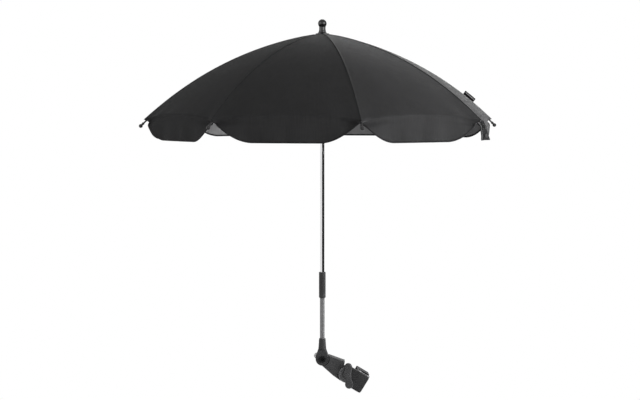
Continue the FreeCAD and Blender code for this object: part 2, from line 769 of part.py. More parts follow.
def main():
    os.makedirs("parts", exist_ok=True)
    save(on_arm(clamp_body()), "clamp_body")
    save(on_arm(fixed_pad()), "fixed_pad")
    save(on_arm(moving_jaw()), "moving_jaw")
    save(on_arm(moving_pad()), "moving_pad")
    save(on_arm(clamp_screw()), "clamp_screw")
    save(on_arm(clamp_knob()), "clamp_knob")
    save(on_arm(swing_bolt()), "swing_bolt")
    save(wing_knob(), "wing_knob")
    save(on_arm(clamp_arm()), "clamp_arm")
    save(on_mast(mast_socket()), "mast_socket")
    save(on_mast(tilt_bolt()), "tilt_bolt")
    save(on_mast(tilt_lever()), "tilt_lever")
    lower_tube = tube(lower_tube_radius, lower_tube_radius - tube_wall, lower_tube_bottom, lower_tube_top)
    save(on_mast(lower_tube), "lower_tube")
    save(on_mast(collar()), "collar")
    save(on_mast(grip_collet()), "grip_collet")
    fold_drop = fold_travel()
    catches = {"top_catch": catch_height_at(runner_z), "low_catch": catch_height_at(runner_z - fold_drop)}
    save(on_mast(upper_shaft(catches.values())), "upper_shaft")
    for node, bottom in catches.items():
        save(on_mast(spring_catch(bottom)), node)
    save(on_mast(crown()), "crown")
    save(on_mast(hinge_wire(hinge_z)), "crown_wire")
    save(on_mast(runner()), "runner")
    save(on_mast(hinge_wire(runner_z)), "runner_wire")
    save(on_mast(rosette()), "rosette")
    save(on_mast(finial()), "finial")
    for number in range(1, rib_count + 1):
        save(on_rib(rib(), number), f"rib_{number}")
        save(on_rib(rib_tip(), number), f"rib_tip_{number}")
        save(on_rib(stretcher(), number), f"stretcher_{number}")
        save(on_rib(canopy_panel(), number), f"canopy_panel_{number}")
    save(on_rib(closing_strap(), rib_count), "closing_strap")
    save(on_rib(strap_snap(), rib_count), "strap_snap")
    save(on_rib(seam_tag(), 1), "seam_tag")


main()
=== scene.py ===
"""Looks of a pram parasol: its cloth, mouldings, finishes and studio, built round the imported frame.

Lengths are metres in the frame's own axes: +Z up along the mast, +X from the mast to the clamp, and
+Y away from the camera.
"""

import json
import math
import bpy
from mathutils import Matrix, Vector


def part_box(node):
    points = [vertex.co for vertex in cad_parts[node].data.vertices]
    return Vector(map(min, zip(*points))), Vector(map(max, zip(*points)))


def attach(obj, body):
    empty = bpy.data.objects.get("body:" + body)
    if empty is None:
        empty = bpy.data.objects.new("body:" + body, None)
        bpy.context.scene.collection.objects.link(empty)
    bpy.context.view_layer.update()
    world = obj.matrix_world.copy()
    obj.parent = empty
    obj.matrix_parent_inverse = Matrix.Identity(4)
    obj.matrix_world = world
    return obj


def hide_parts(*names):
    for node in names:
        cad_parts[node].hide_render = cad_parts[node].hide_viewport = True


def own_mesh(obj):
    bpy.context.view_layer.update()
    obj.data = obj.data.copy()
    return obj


bl_info = {
    "name": "Pram parasol",
    "version": (1, 0, 0),
    "blender": (4, 5, 0),
    "location": "View3D > Sidebar > Parasol",
    "description": "Dresses a folding pram parasol: cloth canopy, mouldings, metal and a white studio",
    "category": "Object",
}

import bmesh
import bpy
import numpy as np
from bpy.props import FloatProperty, FloatVectorProperty, PointerProperty
from mathutils import Vector

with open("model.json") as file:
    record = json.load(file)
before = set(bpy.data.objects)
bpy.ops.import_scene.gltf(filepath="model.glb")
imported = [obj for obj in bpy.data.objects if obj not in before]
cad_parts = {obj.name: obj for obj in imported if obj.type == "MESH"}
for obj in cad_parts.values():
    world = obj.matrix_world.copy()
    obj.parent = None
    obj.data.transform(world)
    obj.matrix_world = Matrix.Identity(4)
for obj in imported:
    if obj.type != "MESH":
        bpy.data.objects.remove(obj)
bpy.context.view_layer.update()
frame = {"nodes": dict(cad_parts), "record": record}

# Places taken from the frame. The clamp is drawn from the middle of the tube that it holds
JOINTS = {joint["name"]: joint for joint in frame["record"]["behaviour"]["joints"]}
TILT = np.array(JOINTS["tilt"]["pos_m"])
EYE = np.array(JOINTS["arm_swing"]["pos_m"])
TUBE_MIDDLE = np.zeros(3)

# Directions: the rows are the axes of the mast's and of the clamp's own drawing
UPRIGHT = np.eye(3)
TUBE = np.array(frame["record"]["mounts"][0]["axis"])
FALL = np.array([[TUBE[2], 0, -TUBE[0]], [0, 1, 0], TUBE])

# Ribs: how many, the angle between two, and the azimuth of the first, square to the fold's axis
RIBS = 8
GORE = 2 * math.pi / RIBS
FOLD_AXIS = JOINTS["canopy_fold"]["axis"]
FIRST_RIB = math.atan2(-FOLD_AXIS[0], FOLD_AXIS[1])


def rib_axes(number):
    """Axes of a rib's own drawing, counted from 1: outwards, round the mast, and up."""
    turn = FIRST_RIB + GORE * (number - 1)
    return np.array([[math.cos(turn), math.sin(turn), 0], [-math.sin(turn), math.cos(turn), 0], [0, 0, 1]])


# Settings


def colour(name, description, default):
    """Setting that holds a colour."""
    return FloatVectorProperty(name=name, description=description, default=default, subtype="COLOR",
                               min=0, max=1)


def length(name, description, default):
    """Setting that holds a length in metres."""
    return FloatProperty(name=name, description=description, default=default, unit="LENGTH", precision=4)


def slope(name, description, degrees):
    """Setting that holds an angle."""
    return FloatProperty(name=name, description=description, default=math.radians(degrees), subtype="ANGLE")


def power(name, description, default):
    """Setting that holds a light's power."""
    return FloatProperty(name=name, description=description, default=default, subtype="POWER")


class ParasolCanopySettings(bpy.types.PropertyGroup):
    """Sizes and colours of the cloth."""

    arc_radius: length("Arc radius", "Radius of the cloth's arc along a rib", 0.620)
    apex_height: length("Apex height", "Height where the rib arcs would meet, above the tilt axis", 0.6266)
    apex_slope: slope("Apex slope", "Slope of the cloth at the mast", 8.34)
    inner_radius: length("Inner radius", "Distance from the mast where the cloth starts", 0.0142)
    rim_radius: length("Rim radius", "Distance from the mast to the rim at a rib", 0.336)
    tip_radius: length("Tip radius", "Distance from the mast to a ball tip", 0.345)
    rib_depth: length("Rib depth", "Distance from the cloth's outside to the middle of a rib", 0.0028)
    mid_rise: length("Rim arch", "Rise of the rim between two ribs", 0.009)
    drop: length("Valance drop", "Height of the valance below the rim", 0.038)
    corner: length("Corner pull", "How far the cloth is drawn out towards each ball tip", 0.003)
    crease: length("Rim crease", "Depth of the fold under the rim beside each rib", 0.008)
    wave: length("Valance wave", "Swing of the valance's lower edge in and out", 0.0016)
    seam: length("Seam height", "Height of the sewn seam over each rib", 0.0004)
    thickness: length("Cloth thickness", "Thickness of the cloth", 0.0008)
    hem: length("Hem width", "Width of the tape that binds the lower edge", 0.0034)
    cloth: colour("Cloth", "Colour of the outside of the cloth", (0.0205, 0.0205, 0.021))
    lining: colour("Lining", "Colour of the coated inside of the cloth", (0.125, 0.125, 0.1265))
    tape: colour("Tape", "Colour of the hem tape and the strap", (0.010, 0.010, 0.0105))


class ParasolFittingSettings(bpy.types.PropertyGroup):
    """Sizes and colours of the mouldings and metal."""

    edge: length("Edge radius", "Rounding along the edges of the mouldings", 0.0016)
    moulding: colour("Moulding", "Colour of the grained black plastic", (0.0175, 0.0175, 0.0181))
    gloss: colour("Gloss", "Colour of the polished black plastic", (0.007, 0.007, 0.0073))
    rubber: colour("Rubber", "Colour of the lining on the clamp's front plate", (0.17, 0.17, 0.172))
    satin: colour("Satin tube", "Colour of the lower tube", (0.14, 0.14, 0.142))
    chrome: colour("Bright shaft", "Colour of the plated shaft", (0.78, 0.78, 0.79))
    zinc: colour("Zinc", "Colour of the screws, bolts and wires", (0.42, 0.42, 0.425))
    lever: colour("Lever", "Colour of the lock lever", (0.58, 0.58, 0.58))
    enamel: colour("Enamel", "Colour of the ribs and stretchers", (0.014, 0.014, 0.0145))


class ParasolStageSettings(bpy.types.PropertyGroup):
    """Camera and light."""

    distance: length("Camera distance", "Distance from the camera to the mast", 2.415)
    height: length("Camera height", "Height of the camera above the tilt axis", 0.4848)
    side: length("Camera side", "Offset of the camera to the left of the mast", 0.0045)
    pitch: slope("Pitch", "How far the camera looks down", 4.19)
    lens: FloatProperty(name="Lens", description="Focal length in mm on a 36 mm sensor", default=70.75)
    floor: length("Floor height", "Height of the floor", -0.45)
    key: power("Key light", "Power of the large light on the right", 74.0)
    fill: power("Fill light", "Power of the light in front, on the left", 14.0)
    rim: power("Rim light", "Power of the light behind, on the right", 225.0)
    sky: FloatProperty(name="Sky", description="Strength of the even light from all round", default=0.35)


# Surfaces

# Points along a rounded corner, along a rounded edge, and round a turned piece
CORNER_STEPS = 6
EDGE_STEPS = 5
ROUND_STEPS = 64
# Place of a face's last ring, as a share of the rounding beside it
FACE_INSET = 1.3
# Rounding of the finest edges, and of those that another shell covers
FINE_EDGE = 0.0001


def place(points, origin, axes):
    """Carries points from a drawing's own axes to the frame: origin plus the coordinates times the axes."""
    return np.asarray(points) @ axes + origin


def soften(points, radius, closed=False):
    """Rounds the corners of a line of points: each corner becomes a quadratic curve that starts and ends
    radius away from it, or halfway along a shorter side."""
    points = np.asarray(points, float)

    def towards(other):
        gap = other - points
        size = np.maximum(np.linalg.norm(gap, axis=1, keepdims=True), 1e-12)
        return (points + gap * np.minimum(radius / size, 0.5))[:, None]

    before = towards(np.roll(points, 1, 0))
    after = towards(np.roll(points, -1, 0))
    t = np.linspace(0, 1, CORNER_STEPS)[None, :, None]
    curve = (1 - t) ** 2 * before + 2 * t * (1 - t) * points[:, None] + t**2 * after
    if closed:
        return curve.reshape(-1, 2)
    return np.concatenate([points[:1], curve[1:-1].reshape(-1, 2), points[-1:]])


def arc(radius, start, end, centre=(0, 0), steps=24):
    """Points of a circle from one angle to another, in degrees."""
    turn = np.radians(np.linspace(start, end, steps))
    return np.stack([centre[0] + radius * np.cos(turn), centre[1] + radius * np.sin(turn)], 1)


def disc(radius, centre=(0, 0)):
    """Points all round a circle."""
    return arc(radius, 0, 360 - 360 / ROUND_STEPS, centre, ROUND_STEPS)


def lathe(profile, segments=ROUND_STEPS):
    """Turns a profile of distance and height about Z: (r cos a, r sin a, z) for every angle a."""
    profile = np.asarray(profile)
    turn = np.linspace(0, 2 * math.pi, segments, endpoint=False)
    r = profile[:, :1]
    z = profile[:, 1:]
    return np.stack([r * np.cos(turn), r * np.sin(turn), z + 0 * turn], -1)


def spread(outline, count=120):
    """The same closed outline with its points spaced evenly along it."""
    closed = np.concatenate([outline, outline[:1]])
    run = np.concatenate([[0], np.cumsum(np.linalg.norm(np.diff(closed, axis=0), axis=1))])
    where = np.linspace(0, run[-1], count, endpoint=False)
    return np.stack([np.interp(where, run, closed[:, i]) for i in (0, 1)], 1)


def ease(outline, reach):
    """The same outline with its corners rounded off: each point becomes the mean of those within a length of
    outline, and that is done twice."""
    points = spread(np.asarray(outline), 240)
    step = np.linalg.norm(points[1] - points[0])
    half = round(reach / step / 2)
    for _ in range(2):
        points = np.mean([np.roll(points, shift, 0) for shift in range(-half, half + 1)], axis=0)
    return points


def rectangle(x, z, radius, count=120):
    """Outline between two X values and two Z values, with rounded corners."""
    corners = [[x[0], z[0]], [x[1], z[0]], [x[1], z[1]], [x[0], z[1]]]
    return spread(soften(corners, radius, True), count)


def shrink(outline, normal, depth):
    """The outline moved inwards along its normals. A point that comes too near to another part of the
    outline, as in a sharp corner, takes the place of the next point that doesn't."""
    moved = outline - normal * depth
    room = np.linalg.norm(moved[:, None] - outline[None], axis=-1).min(axis=1)
    clear = np.flatnonzero(room > 0.97 * depth - 1e-9)
    count = len(outline)
    away = np.abs((np.arange(count)[:, None] - clear + count // 2) % count - count // 2)
    return moved[clear[away.argmin(axis=1)]]


def slab(outline, low, high, low_edge, high_edge):
    """Plate between two Y values with rounded edges: the outline in X and Z is inset along its normals by a
    quarter circle at each face. A last ring inside each face keeps the face flat."""
    outline = np.asarray(outline)
    following = np.roll(outline, -1, 0)
    along = following - np.roll(outline, 1, 0)
    normal = np.stack([along[:, 1], -along[:, 0]], 1) / np.linalg.norm(along, axis=1, keepdims=True)
    area = np.sum(outline[:, 0] * following[:, 1] - following[:, 0] * outline[:, 1])
    normal = normal * math.copysign(1, area)
    turn = np.linspace(0, math.pi / 2, EDGE_STEPS)
    opening = 1 - np.cos(turn)
    closing = 1 - np.sin(turn)
    inset = np.concatenate([[low_edge * FACE_INSET], low_edge * closing,
                            high_edge * opening, [high_edge * FACE_INSET]])
    level = np.concatenate([[low], low + low_edge * opening, high - high_edge * closing, [high]])
    flat = np.stack([shrink(outline, normal, depth) for depth in inset])
    return np.stack([flat[..., 0], level[:, None] + 0 * flat[..., 0], flat[..., 1]], -1)


def ring(outline, hole, low, high, edge, centre=(0, 0)):
    """Slab with a round hole: each point of the outline has its own point of the hole, in the same
    direction from the centre."""
    outline = spread(outline)
    body = slab(outline, low, high, edge, edge)
    turn = np.arctan2(outline[:, 1] - centre[1], outline[:, 0] - centre[0])
    x = centre[0] + hole * np.cos(turn)
    z = centre[1] + hole * np.sin(turn)
    bore = [np.stack([x, y + 0 * turn, z], -1) for y in (high, low)]
    return np.concatenate([body, bore])


def sweep(path, section, normals):
    """Carries a closed section along a path: path plus section x times the normal plus section y times the
    binormal. The ends are closed on their middles."""
    along = np.gradient(path, axis=0)
    along /= np.linalg.norm(along, axis=1, keepdims=True)
    across = np.cross(along, normals)
    across /= np.linalg.norm(across, axis=1, keepdims=True)
    body = path[:, None] + section[None, :, :1] * normals[:, None] + section[None, :, 1:] * across[:, None]
    ends = [np.repeat(point[None, None], len(section), 1) for point in (path[0], path[-1])]
    return np.concatenate([ends[0], body, ends[1]])


def oval(half_x, half_y, count):
    """Closed section for a sweep: an ellipse of so many points."""
    turn = np.linspace(0, 2 * math.pi, count, endpoint=False)
    return np.stack([half_x * np.cos(turn), half_y * np.sin(turn)], 1)


def grid_faces(rows, columns, wrap, wrap_rows=False):
    """Quads of a grid of points, joined round its columns if wrap is set, and round its rows if wrap_rows
    is."""
    i = np.arange(rows if wrap_rows else rows - 1)[:, None]
    j = np.arange(columns if wrap else columns - 1)[None]
    here = i * columns
    below = (i + 1) % rows * columns
    right = (j + 1) % columns
    return np.stack([here + j, here + right, below + right, below + j], -1).reshape(-1, 4)


# Pieces

# Angles in degrees past which the edge between two faces stays sharp
MOULDED_SHARP = 40
CLOTH_SHARP = 50
# Points nearer than this are one
MERGE = 1e-7


def new_object(name, points, faces):
    """Mesh object from an array of points and a list of faces."""
    mesh = bpy.data.meshes.new(name)
    mesh.from_pydata(points.tolist(), [], faces)
    obj = bpy.data.objects.new(name, mesh)
    bpy.context.scene.collection.objects.link(obj)
    return obj


def shade(mesh, angle):
    """Smooth shading with edges kept sharp where the faces turn by more than an angle in degrees."""
    mesh.polygons.foreach_set("use_smooth", np.ones(len(mesh.polygons), bool))
    mesh.set_sharp_from_angle(angle=math.radians(angle))


def sharpen_border(mesh, rows, columns):
    """Marks the outer edges of a grid as sharp, so that its thickness doesn't bend the shading."""
    ends = np.empty(len(mesh.edges) * 2, int)
    mesh.edges.foreach_get("vertices", ends)
    row, column = np.divmod(ends.reshape(-1, 2), columns)
    border = np.zeros(len(mesh.edges), bool)
    for line, last in ((row, rows - 1), (column, columns - 1)):
        border |= np.all(line == 0, 1) | np.all(line == last, 1)
    mesh.edges.foreach_set("use_edge_sharp", border)


def solid(name, origin, axes, shells, rings=()):
    """One closed piece from grids in a drawing's own axes that close round their columns. The ends of shells
    are capped and the rows of rings close on themselves. Poles are merged and faces turned outwards."""
    points = []
    faces = []
    base = 0
    for number, drawn in enumerate((*shells, *rings)):
        is_ring = number >= len(shells)
        grid = place(drawn, origin, axes)
        rows, columns = grid.shape[:2]
        points.append(grid.reshape(-1, 3))
        faces += (grid_faces(rows, columns, True, is_ring) + base).tolist()
        for row in (0, rows - 1):
            if not is_ring and np.ptp(grid[row], axis=0).max() > MERGE:
                faces.append((base + row * columns + np.arange(columns)).tolist())
        base += rows * columns
    obj = new_object(name, np.concatenate(points), faces)
    bm = bmesh.new()
    bm.from_mesh(obj.data)
    bmesh.ops.remove_doubles(bm, verts=bm.verts, dist=MERGE)
    bmesh.ops.dissolve_degenerate(bm, edges=bm.edges, dist=MERGE / 10)
    bmesh.ops.recalc_face_normals(bm, faces=bm.faces)
    bm.to_mesh(obj.data)
    bm.free()
    shade(obj.data, MOULDED_SHARP)
    return obj


def dress(obj, body, slot, material, *nodes):
    """Gives a piece its material and the body that carries it, and hides the frame nodes that it stands for.
    The slot is not used.
    """
    obj.data.materials.append(material)
    if nodes:
        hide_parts(*nodes)
    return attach(obj, body)


def finish_nodes(material, *names):
    """Gives frame nodes a finish."""
    for name in names:
        for holder in frame["nodes"][name].material_slots:
            holder.material = material


# Materials

# Noise cells in a metre: patches and grain of mouldings, streaks of metal, shades, slubs and puckers of cloth
PATCHES = 60
GRAIN = 1400
STREAKS = 900
SHADES = 22
SLUBS = 700
PUCKERS = 34
# Thread spacing of the cloth
THREAD = 0.0009
# Stretch of the streaks along a drawn tube
DRAWN = (1, 1, 0.02)


class Finish:
    """A node material under construction, with its main shader and short ways to add nodes."""

    def __init__(self, name):
        self.material = bpy.data.materials.new(name)
        self.material.use_nodes = True
        self.nodes = self.material.node_tree.nodes
        self.shader = self.nodes["Principled BSDF"]

    def feed(self, socket, value):
        """Links another node's output to a socket, or gives the socket a value."""
        if isinstance(value, bpy.types.NodeSocket):
            self.material.node_tree.links.new(value, socket)
        else:
            socket.default_value = value

    def node(self, kind, inputs, **settings):
        """New node with its settings and inputs."""
        made = self.nodes.new(kind)
        for key, value in settings.items():
            setattr(made, key, value)
        for key, value in inputs.items():
            self.feed(made.inputs[key], value)
        return made

    def set(self, **values):
        """Feeds the main shader's inputs, whose names have underscores here for spaces."""
        for key, value in values.items():
            self.feed(self.shader.inputs[key.replace("_", " ")], value)
        return self

    def math(self, operation, first, second):
        """Output of an operation on two numbers."""
        return self.node("ShaderNodeMath", {0: first, 1: second}, operation=operation).outputs[0]

    def position(self):
        """Place on the piece, in metres."""
        return self.node("ShaderNodeTexCoord", {}).outputs["Object"]

    def noise(self, where, scale, detail=3.0, stretch=(1, 1, 1)):
        """Noise with so many cells in a metre, which a stretch under 1 lengthens along an axis."""
        where = self.node("ShaderNodeMapping", {"Vector": where, "Scale": stretch}).outputs[0]
        return self.node("ShaderNodeTexNoise", {"Vector": where, "Scale": scale, "Detail": detail}).outputs[0]

    def between(self, value, low, high):
        """Noise from a quarter to three quarters, carried to a range of its own."""
        inputs = {"Value": value, "From Min": 0.25, "From Max": 0.75, "To Min": low, "To Max": high}
        return self.node("ShaderNodeMapRange", inputs).outputs[0]

    def tint(self, value, dark, light):
        """Ramp from a dark to a light colour."""
        ramp = self.node("ShaderNodeValToRGB", {"Fac": value})
        for stop, position, tone in zip(ramp.color_ramp.elements, (0.3, 0.7), (dark, light)):
            stop.position = position
            stop.color = (*tone, 1)
        return ramp.outputs[0]

    def bump(self, height, distance, strength=1.0, normal=None):
        """Normal tilted by a height, on top of an earlier normal if one is given."""
        inputs = {"Height": height, "Distance": distance, "Strength": strength}
        if normal is not None:
            inputs["Normal"] = normal
        return self.node("ShaderNodeBump", inputs).outputs[0]


def lighter(base, factor):
    """A colour times a factor, which is under 1 for a darker one."""
    return tuple(min(1.0, part * factor) for part in base)


def moulded(name, base, roughness, grain, vary=0.08, shine=0.22):
    """Grained plastic, rubber or tape: fine bumps, slow changes of colour and roughness."""
    f = Finish(name)
    where = f.position()
    slow = f.noise(where, PATCHES)
    fine = f.noise(where, GRAIN, 2)
    return f.set(Base_Color=f.tint(slow, lighter(base, 0.85), lighter(base, 1.18)),
                 Roughness=f.between(slow, roughness - vary, roughness + vary), Specular_IOR_Level=shine,
                 Normal=f.bump(fine, grain)).material


def metal(name, base, roughness, grain, stretch=(1, 1, 1), vary=0.05, metallic=1.0):
    """Drawn, plated or coated metal: streaks of roughness and very fine lines, drawn out by the stretch."""
    f = Finish(name)
    streak = f.noise(f.position(), STREAKS, 3, stretch)
    return f.set(Base_Color=f.tint(streak, lighter(base, 0.93), lighter(base, 1.05)), Metallic=metallic,
                 Roughness=f.between(streak, roughness - vary, roughness + vary),
                 Normal=f.bump(streak, grain)).material


def woven(name, base, sheen, roughness):
    """Plain weave on the piece's own UV map, which is in metres: a sine across each thread, raised in turn,
    with slow changes of colour."""
    f = Finish(name)
    where = f.node("ShaderNodeUVMap", {}, uv_map="weave").outputs[0]
    split = f.node("ShaderNodeSeparateXYZ", {0: where})
    waves = [f.math("SINE", f.math("MULTIPLY", split.outputs[i], 2 * math.pi / THREAD), 0) for i in (0, 1)]
    raised = {0: f.math("MULTIPLY", *waves), 1: 0.5, 2: 0.5}
    weave = f.node("ShaderNodeMath", raised, operation="MULTIPLY_ADD").outputs[0]
    slow = f.noise(f.position(), SHADES, 4)
    slub = f.noise(where, SLUBS, 2, (1, 0.05, 1))
    mixed = f.math("ADD", f.math("MULTIPLY", slow, 0.55), f.math("MULTIPLY", slub, 0.45))
    soft = f.bump(f.noise(f.position(), PUCKERS, 3), 0.0009, 0.6)
    f.set(Sheen_Weight=sheen, Sheen_Roughness=0.25, Specular_IOR_Level=0.05)
    return f.set(Base_Color=f.tint(mixed, lighter(base, 0.82), lighter(base, 1.2)),
                 Roughness=f.between(slow, roughness - 0.06, roughness + 0.06),
                 Normal=f.bump(weave, THREAD * 0.16, 0.7, soft)).material


# Canopy

# Scalloped edge: where it levels out as a share of the half gore, the power of its curve, and its least drop
SCALLOP_LEVEL = 0.55
SCALLOP_POWER = 1.9
SCALLOP_LEAST = 0.0014
# Seam over a rib: half its width, and the distance from the mast where it starts
SEAM_HALF = 0.0024
SEAM_START = 0.02
# Ripples above the rim: height, length, reach away from the rib, and reach up the arc as an angle
RIPPLE_HEIGHT = 0.0011
RIPPLE_LENGTH = 0.0075
RIPPLE_REACH = 0.05
RIPPLE_ANGLE = 0.05
# Corner drawn out to a ball tip: half its width, and its reach up the arc as an angle
CORNER_HALF = 0.009
CORNER_ANGLE = 0.016
# Fold under the rim: reach away from the rib, depth below the rim, and half its height
FOLD_REACH = 0.036
FOLD_LEVEL = 0.0065
FOLD_HALF = 0.0055
# Sewn line under the rim: how far it is drawn in, depth below the rim, and half its height
LINE_DRAW = 0.0004
LINE_LEVEL = 0.003
LINE_HALF = 0.003
# Wave of the lower edge: its length, and the distance from the rib over which it grows
WAVE_LENGTH = 0.0145
WAVE_START = 0.03
# Grid of a panel
PANEL_COLUMNS = 121
DOME_ROWS = 76
VALANCE_ROWS = 26


def bell(value, half):
    """Bell curve that is 1 at zero."""
    return np.exp(-((value / half) ** 2))


class Cloth:
    """Formulas of the cloth, in a rib's own axes: the mast is the middle and the tilt axis is zero height."""

    def __init__(self, sizes):
        self.sizes = sizes
        self.centre_r = -sizes.arc_radius * math.sin(sizes.apex_slope)
        self.centre_z = sizes.apex_height - sizes.arc_radius * math.cos(sizes.apex_slope)
        self.rim_angle = self.angle(sizes.arc_radius, sizes.rim_radius)
        self.half = GORE / 2
        self.rim_half = sizes.rim_radius * math.sin(self.half)

    def angle(self, radius, distance):
        """Angle of a rib arc where it is that far from the mast."""
        return math.asin((distance - self.centre_r) / radius)

    def along(self, radius, angle):
        """Distance and height of a rib arc at an angle."""
        return self.centre_r + radius * np.sin(angle), self.centre_z + radius * np.cos(angle)

    def scallop(self, away):
        """Drop of the lower edge at a distance from the rib: it runs down fast, then levels out about a
        quarter gore away."""
        share = np.clip(away / (SCALLOP_LEVEL * self.rim_half), 0, 1)
        return np.maximum(self.sizes.drop * (1 - (1 - share) ** SCALLOP_POWER), SCALLOP_LEAST)

    def dome(self, a, angle):
        """Cloth above the rim. a runs from -1 to 1 between two mid gores and is 0 on the rib. The chord
        between ribs is straight in plan and rises by a parabola, the seam stands up as a bell curve over the
        rib, and ripples and a drawn-out corner fade away from the rim."""
        distance, height = self.along(self.sizes.arc_radius, angle)
        part = np.abs(a)
        chord = distance * math.cos(self.half)
        x = distance + (chord * math.cos(self.half) - distance) * part
        y = chord * math.sin(self.half) * a
        rise = self.sizes.mid_rise * (distance / self.sizes.rim_radius) ** 2 * (1 - (1 - part) ** 2)
        seam = self.sizes.seam * bell(y, SEAM_HALF) * np.clip((distance - SEAM_START) / SEAM_START, 0, 1)
        pull = np.exp((angle - self.rim_angle) / RIPPLE_ANGLE) * np.exp(-np.abs(y) / RIPPLE_REACH)
        ripple = RIPPLE_HEIGHT * pull * np.cos(np.abs(y) / RIPPLE_LENGTH) * (1 - part**2)
        lift = seam + ripple
        corner = self.sizes.corner * bell(y, CORNER_HALF) * np.exp((angle - self.rim_angle) / CORNER_ANGLE)
        return np.stack([x + lift * np.sin(angle) + corner * np.cos(angle), y,
                         height + rise + lift * np.cos(angle) - corner * np.sin(angle)], -1)

    def valance(self, a, c):
        """Cloth below the rim. c runs from 0 at the rim to 1 at the lower edge. A fold is pressed in under
        the rim beside the rib, and the lower edge swings in and out by a sine."""
        rim = self.dome(a, np.full_like(a, self.rim_angle))
        away = np.abs(a) * self.rim_half
        foot = self.along(self.sizes.arc_radius, self.rim_angle)[1] - self.scallop(away)
        fall = (rim[..., 2] - foot) * c
        fold = self.sizes.crease * np.exp(-away / FOLD_REACH) * bell(fall - FOLD_LEVEL, FOLD_HALF)
        line = LINE_DRAW * bell(fall - LINE_LEVEL, LINE_HALF)
        wave = self.sizes.wave * c * np.sin(away / WAVE_LENGTH)
        wave = wave * (1 - np.exp(-away / WAVE_START)) * (1 - np.abs(a) ** 6)
        out = wave - fold - line
        return np.stack([rim[..., 0] + out * math.cos(self.half),
                         rim[..., 1] + out * np.sign(a) * math.sin(self.half), rim[..., 2] - fall], -1)


def canopy_panel(name, cloth, axes, materials):
    """Sheet over one rib: dome rows from the mast to the rim, then valance rows to the scalloped edge, with
    columns closest beside the rib. Its UV map gives metres across and along."""
    sizes = cloth.sizes
    t = np.linspace(-1, 1, PANEL_COLUMNS)
    a = 0.35 * t + 0.65 * t**3
    first = cloth.angle(sizes.arc_radius, sizes.inner_radius)
    angle = first + (cloth.rim_angle - first) * np.linspace(0, 1, DOME_ROWS)
    c = np.linspace(0, 1, VALANCE_ROWS + 1)[1:] ** 1.15
    dome = cloth.dome(*np.meshgrid(a, angle))
    valance = cloth.valance(*np.meshgrid(a, c))
    grid = np.concatenate([dome, valance])
    run = np.concatenate([sizes.arc_radius * angle, sizes.arc_radius * cloth.rim_angle + sizes.drop * c])
    uv = np.stack([grid[..., 1], run[:, None] + 0 * grid[..., 1]], -1).reshape(-1, 2)
    faces = grid_faces(*grid.shape[:2], False)[:, ::-1]
    obj = new_object(name, place(grid.reshape(-1, 3), TILT, axes), faces.tolist())
    layer = obj.data.uv_layers.new(name="weave")
    layer.data.foreach_set("uv", uv[faces].reshape(-1))
    shade(obj.data, CLOTH_SHARP)
    sharpen_border(obj.data, *grid.shape[:2])
    for material in materials:
        obj.data.materials.append(material)
    wall = obj.modifiers.new("cloth", "SOLIDIFY")
    wall.thickness = sizes.thickness
    wall.offset = -1
    wall.material_offset = 1
    wall.material_offset_rim = 0
    return obj


def hem_tape(name, cloth, axes):
    """Tape folded over the lower edge of one panel: a flat oval carried along each half of the scallop, with
    its points closest beside the rib."""
    half_thick = 0.00105
    grip = 0.35
    section = oval(half_thick, cloth.sizes.hem / 2, 14)
    shells = []
    for side in (-1, 1):
        a = side * np.linspace(0.004, 1, 110) ** 1.3
        out = np.array([math.cos(cloth.half), side * math.sin(cloth.half), 0])
        path = cloth.valance(a, np.ones_like(a)) + out * -cloth.sizes.thickness / 2
        path[:, 2] += cloth.sizes.hem * grip
        shells.append(sweep(path, section, np.repeat(out[None], len(a), 0)))
    return solid(name, TILT, axes, shells)


def seam_cord(name, cloth, axes):
    """Felled seam over one rib: a flat oval carried along the ridge of the cloth."""
    inset = 0.001
    lift = 0.0001
    first = cloth.angle(cloth.sizes.arc_radius, cloth.sizes.inner_radius + inset)
    angle = np.linspace(first, cloth.rim_angle, 120)
    normals = np.stack([np.sin(angle), 0 * angle, np.cos(angle)], -1)
    path = cloth.dome(0 * angle, angle) + normals * lift
    return solid(name, TILT, axes, [sweep(path, oval(0.0004, 0.0006, 12), normals)])


class PARASOL_OT_canopy(bpy.types.Operator):
    """Eight cloth panels with their valances, seams and hem tapes"""

    bl_idname = "parasol.canopy"
    bl_label = "Canopy"

    def execute(self, context):
        sizes = context.scene.parasol_canopy
        cloth = Cloth(sizes)
        outside = woven("black polyester", sizes.cloth, 0.12, 0.82)
        inside = woven("coated lining", sizes.lining, 0.05, 0.7)
        tape = moulded("hem tape", sizes.tape, 0.8, 0.00005, shine=0.1)
        for number in range(1, RIBS + 1):
            axes = rib_axes(number)
            panel = canopy_panel(f"cloth_panel_{number}", cloth, axes, (outside, inside))
            hem = hem_tape(f"hem_{number}", cloth, axes)
            seam = seam_cord(f"seam_{number}", cloth, axes)
            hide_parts(f"canopy_panel_{number}")
            for piece in (hem, seam):
                piece.data.materials.append(tape)
            for piece, slot in ((panel, "canopy_cloth"), (hem, "trim_cloth"), (seam, "trim_cloth")):
                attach(piece, f"rib_{number}")
                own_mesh(piece)
        return {"FINISHED"}


